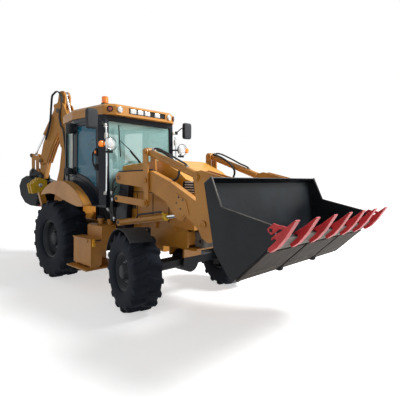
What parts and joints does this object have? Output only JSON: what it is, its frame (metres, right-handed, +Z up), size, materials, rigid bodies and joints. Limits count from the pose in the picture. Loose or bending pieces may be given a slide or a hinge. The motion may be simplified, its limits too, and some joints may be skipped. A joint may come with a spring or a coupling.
{
  "type": "backhoe loader",
  "caption": "Backhoe loader with a lifting front bucket, a folded rear digging arm, a glazed cab, lug tyres and swing-down stabiliser legs.",
  "frame": {"origin": "on the ground under the middle of the overall box", "axes": "+X towards the loader bucket, +Y to the machine's left, +Z up"},
  "size_m": [7.2327, 2.3886, 3.5442],
  "materials": {
    "paint": "gloss",
    "black_paint": "satin",
    "cab_paint": "satin",
    "bucket_paint": "matt",
    "red_steel": "matt",
    "dark_steel": "matt",
    "chrome": "polished",
    "window": "clear",
    "lamp": "gloss",
    "tyre": "matt",
    "grille": "satin",
    "seat": "matt",
    "fender_paint": "gloss",
    "iron": "rough"
  },
  "bodies": {
    "chassis": {"main_frame": "paint", "rear_frame": "paint", "loader_tower": "black_paint", "front_axle": "dark_steel", "rear_axle": "dark_steel", "engine_block": "iron", "hood_side_panels": "paint", "nose_grille": "grille", "front_weight": "iron", "right_tank": "paint", "toolbox": "paint", "left_tank": "paint", "cab_frame": "cab_paint", "cab_floor": "black_paint", "cab_glass": "window", "cab_roof": "paint", "lamps": "lamp", "mirrors_and_rails": "black_paint", "rear_fenders": "fender_paint", "seat": "seat"},
    "hood": {"hood": "paint"},
    "door_left": {"door_left": "cab_paint"},
    "door_right": {"door_right": "cab_paint"},
    "toolbox_lid": {"toolbox_lid": "paint"},
    "knuckle_left": {"steering_knuckle_left": "black_paint"},
    "knuckle_right": {"steering_knuckle_right": "black_paint"},
    "front_wheel_left": {"front_tyre_left": "tyre", "front_rim_left": "black_paint"},
    "front_wheel_right": {"front_tyre_right": "tyre", "front_rim_right": "black_paint"},
    "rear_wheel_left": {"rear_tyre_left": "tyre", "rear_rim_left": "black_paint"},
    "rear_wheel_right": {"rear_tyre_right": "tyre", "rear_rim_right": "black_paint"},
    "arms": {"loader_arms": "paint"},
    "levers": {"tilt_levers": "paint"},
    "links": {"levelling_links": "paint"},
    "tilt_barrels": {"tilt_barrels": "paint"},
    "tilt_rods": {"tilt_rods": "chrome"},
    "lift_barrels": {"lift_barrels": "paint"},
    "lift_rods": {"lift_rods": "chrome"},
    "bucket_pins": {"bucket_pins": "dark_steel"},
    "bucket": {"coupler": "paint", "loader_bucket": "bucket_paint", "bucket_teeth": "red_steel"},
    "kingpost": {"kingpost": "paint"},
    "boom": {"boom": "paint"},
    "stick": {"stick": "paint"},
    "rocker": {"rocker": "paint"},
    "bucket_link": {"bucket_link": "paint"},
    "hoe_bucket": {"hoe_bucket": "bucket_paint"},
    "boom_barrel": {"boom_barrel": "paint"},
    "boom_rod": {"boom_rod": "chrome"},
    "dipper_barrel": {"dipper_barrel": "paint"},
    "dipper_rod": {"dipper_rod": "chrome"},
    "curl_barrel": {"curl_barrel": "paint"},
    "curl_rod": {"curl_rod": "chrome"},
    "stabiliser_left": {"stabiliser_left": "paint"},
    "stabiliser_right": {"stabiliser_right": "paint"}
  },
  "joints": [
    {"name": "steer_left", "type": "hinge", "parent": "chassis", "child": "knuckle_left", "pos_m": [1.23, 0.84, 0.511], "axis": [0, 0, 1], "range_deg": [-14, 40]},
    {"name": "front_wheel_spin_left", "type": "hinge", "parent": "knuckle_left", "child": "front_wheel_left", "pos_m": [1.2435, 0.89846, 0.511], "axis": [0.225, 0.9744, 0], "continuous": true},
    {"name": "rear_wheel_spin_left", "type": "hinge", "parent": "chassis", "child": "rear_wheel_left", "pos_m": [-1.02, 0.825, 0.652], "axis": [0, 1, 0], "continuous": true},
    {"name": "door_left_hinge", "type": "hinge", "parent": "chassis", "child": "door_left", "pos_m": [-0.667, 0.764, 2], "axis": [0, 0, 1], "range_deg": [0, 80]},
    {"name": "stabiliser_left_swing", "type": "hinge", "parent": "chassis", "child": "stabiliser_left", "pos_m": [-1.97, 0.6, 0.76], "axis": [-1, 0, 0], "range_deg": [0, 115]},
    {"name": "steer_right", "type": "hinge", "parent": "chassis", "child": "knuckle_right", "pos_m": [1.23, -0.84, 0.511], "axis": [0, 0, 1], "range_deg": [-14, 40]},
    {"name": "front_wheel_spin_right", "type": "hinge", "parent": "knuckle_right", "child": "front_wheel_right", "pos_m": [1.2165, -0.89846, 0.511], "axis": [0.225, 0.9744, 0], "continuous": true},
    {"name": "rear_wheel_spin_right", "type": "hinge", "parent": "chassis", "child": "rear_wheel_right", "pos_m": [-1.02, -0.825, 0.652], "axis": [0, 1, 0], "continuous": true},
    {"name": "door_right_hinge", "type": "hinge", "parent": "chassis", "child": "door_right", "pos_m": [-0.667, -0.764, 2], "axis": [0, 0, -1], "range_deg": [0, 80]},
    {"name": "stabiliser_right_swing", "type": "hinge", "parent": "chassis", "child": "stabiliser_right", "pos_m": [-1.97, -0.6, 0.76], "axis": [1, 0, 0], "range_deg": [0, 115]},
    {"name": "hood_hinge", "type": "hinge", "parent": "chassis", "child": "hood", "pos_m": [0.28, 0, 1.89], "axis": [0, -1, 0], "range_deg": [0, 35]},
    {"name": "toolbox_lid_hinge", "type": "hinge", "parent": "chassis", "child": "toolbox_lid", "pos_m": [0.01, -0.8003, 0.795], "axis": [-1, 0, 0], "range_deg": [0, 88]},
    {"name": "arm_lift", "type": "hinge", "parent": "chassis", "child": "arms", "pos_m": [0.505, 0, 1.7], "axis": [0, -1, 0], "range_deg": [-12, 77]},
    {"name": "lever_level", "type": "hinge", "parent": "arms", "child": "levers", "pos_m": [1.177, 0, 1.667], "axis": [0, -1, 0], "range_deg": [-77.5, 12.5]},
    {"name": "link_turn", "type": "hinge", "parent": "chassis", "child": "links", "pos_m": [0.528, 0, 1.399], "axis": [0, -1, 0], "range_deg": [-12.5, 77.5]},
    {"name": "tilt_barrel_turn", "type": "hinge", "parent": "levers", "child": "tilt_barrels", "pos_m": [1.165, 0, 2.05], "axis": [0, -1, 0], "range_deg": [-12.98, 80.58]},
    {"name": "tilt_rod_slide", "type": "slide", "parent": "tilt_barrels", "child": "tilt_rods", "axis": [0.9454, 0, -0.3259], "range_m": [0, 0.7845]},
    {"name": "lift_barrel_turn", "type": "hinge", "parent": "chassis", "child": "lift_barrels", "pos_m": [0.48, 0, 1.04], "axis": [0, -1, 0], "range_deg": [-9.92, 60.94]},
    {"name": "lift_rod_slide", "type": "slide", "parent": "lift_barrels", "child": "lift_rods", "axis": [0.9879, 0, 0.1553], "range_m": [-0.1072, 0.6715]},
    {"name": "bucket_level", "type": "hinge", "parent": "arms", "child": "bucket_pins", "pos_m": [2.25, 0, 1.185], "axis": [0, -1, 0], "range_deg": [-77.5, 12.5]},
    {"name": "bucket_tilt", "type": "hinge", "parent": "bucket_pins", "child": "bucket", "pos_m": [2.25, 0, 1.185], "axis": [0, -1, 0], "range_deg": [-88, 0]},
    {"name": "swing", "type": "hinge", "parent": "chassis", "child": "kingpost", "pos_m": [-2.37, 0, 0.74], "axis": [0, 0, 1], "range_deg": [-109, 71]},
    {"name": "boom_lift", "type": "hinge", "parent": "kingpost", "child": "boom", "pos_m": [-2.57801, -0.07162, 0.82], "axis": [0.3256, -0.9455, 0], "range_deg": [0, 100]},
    {"name": "boom_barrel_turn", "type": "hinge", "parent": "kingpost", "child": "boom_barrel", "pos_m": [-2.35109, 0.00651, 1.13], "axis": [0.3256, -0.9455, 0], "range_deg": [0, 106.15]},
    {"name": "boom_rod_slide", "type": "slide", "parent": "boom_barrel", "child": "boom_rod", "axis": [0.1735, 0.0597, 0.983], "range_m": [0, 0.5952]},
    {"name": "stick_swing", "type": "hinge", "parent": "boom", "child": "stick", "pos_m": [-2.57329, -0.07, 3.12], "axis": [-0.3256, 0.9455, 0], "range_deg": [0, 122]},
    {"name": "dipper_barrel_turn", "type": "hinge", "parent": "boom", "child": "dipper_barrel", "pos_m": [-2.02961, 0.1172, 2], "axis": [-0.3256, 0.9455, 0], "range_deg": [0, 6.69]},
    {"name": "dipper_rod_slide", "type": "slide", "parent": "dipper_barrel", "child": "dipper_rod", "axis": [-0.2935, -0.1011, 0.9506], "range_m": [-0.6541, 0]},
    {"name": "hoe_bucket_turn", "type": "hinge", "parent": "stick", "child": "hoe_bucket", "pos_m": [-3.08859, -0.24743, 1.7], "axis": [-0.3256, 0.9455, 0], "range_deg": [0, 40]},
    {"name": "rocker_turn", "type": "hinge", "parent": "stick", "child": "rocker", "pos_m": [-3.09521, -0.24971, 2.057], "axis": [-0.3256, 0.9455, 0], "range_deg": [0, 40.5]},
    {"name": "bucket_link_turn", "type": "hinge", "parent": "rocker", "child": "bucket_link", "pos_m": [-3.36279, -0.34185, 2.18], "axis": [-0.3256, 0.9455, 0], "range_deg": [-40.5, 0]},
    {"name": "curl_barrel_turn", "type": "hinge", "parent": "stick", "child": "curl_barrel", "pos_m": [-2.71039, -0.1172, 3.24], "axis": [-0.3256, 0.9455, 0], "range_deg": [-1.6, 0]},
    {"name": "curl_rod_slide", "type": "slide", "parent": "curl_barrel", "child": "curl_rod", "axis": [-0.5158, -0.1776, -0.8381], "range_m": [-0.214, 0]}
  ],
  "couplings": [
    {"joint": "steer_right", "follows": "steer_left", "ratio": 1},
    {"joint": "lever_level", "follows": "arm_lift", "ratio": -1},
    {"joint": "link_turn", "follows": "arm_lift", "ratio": 1},
    {"joint": "tilt_barrel_turn", "follows": "arm_lift", "ratio": 1.04},
    {"joint": "lift_barrel_turn", "follows": "arm_lift", "ratio": 0.785},
    {"joint": "lift_rod_slide", "follows": "arm_lift", "m_per_rad": 0.4974},
    {"joint": "bucket_level", "follows": "arm_lift", "ratio": -1},
    {"joint": "tilt_rod_slide", "follows": "bucket_tilt", "m_per_rad": -0.5088},
    {"joint": "boom_barrel_turn", "follows": "boom_lift", "ratio": 1.0565},
    {"joint": "boom_rod_slide", "follows": "boom_lift", "m_per_rad": 0.3393},
    {"joint": "dipper_barrel_turn", "follows": "stick_swing", "ratio": 0.0507},
    {"joint": "dipper_rod_slide", "follows": "stick_swing", "m_per_rad": -0.3058},
    {"joint": "rocker_turn", "follows": "hoe_bucket_turn", "ratio": 1},
    {"joint": "bucket_link_turn", "follows": "hoe_bucket_turn", "ratio": -1},
    {"joint": "curl_barrel_turn", "follows": "hoe_bucket_turn", "ratio": -0.0275},
    {"joint": "curl_rod_slide", "follows": "hoe_bucket_turn", "m_per_rad": -0.3022}
  ]
}
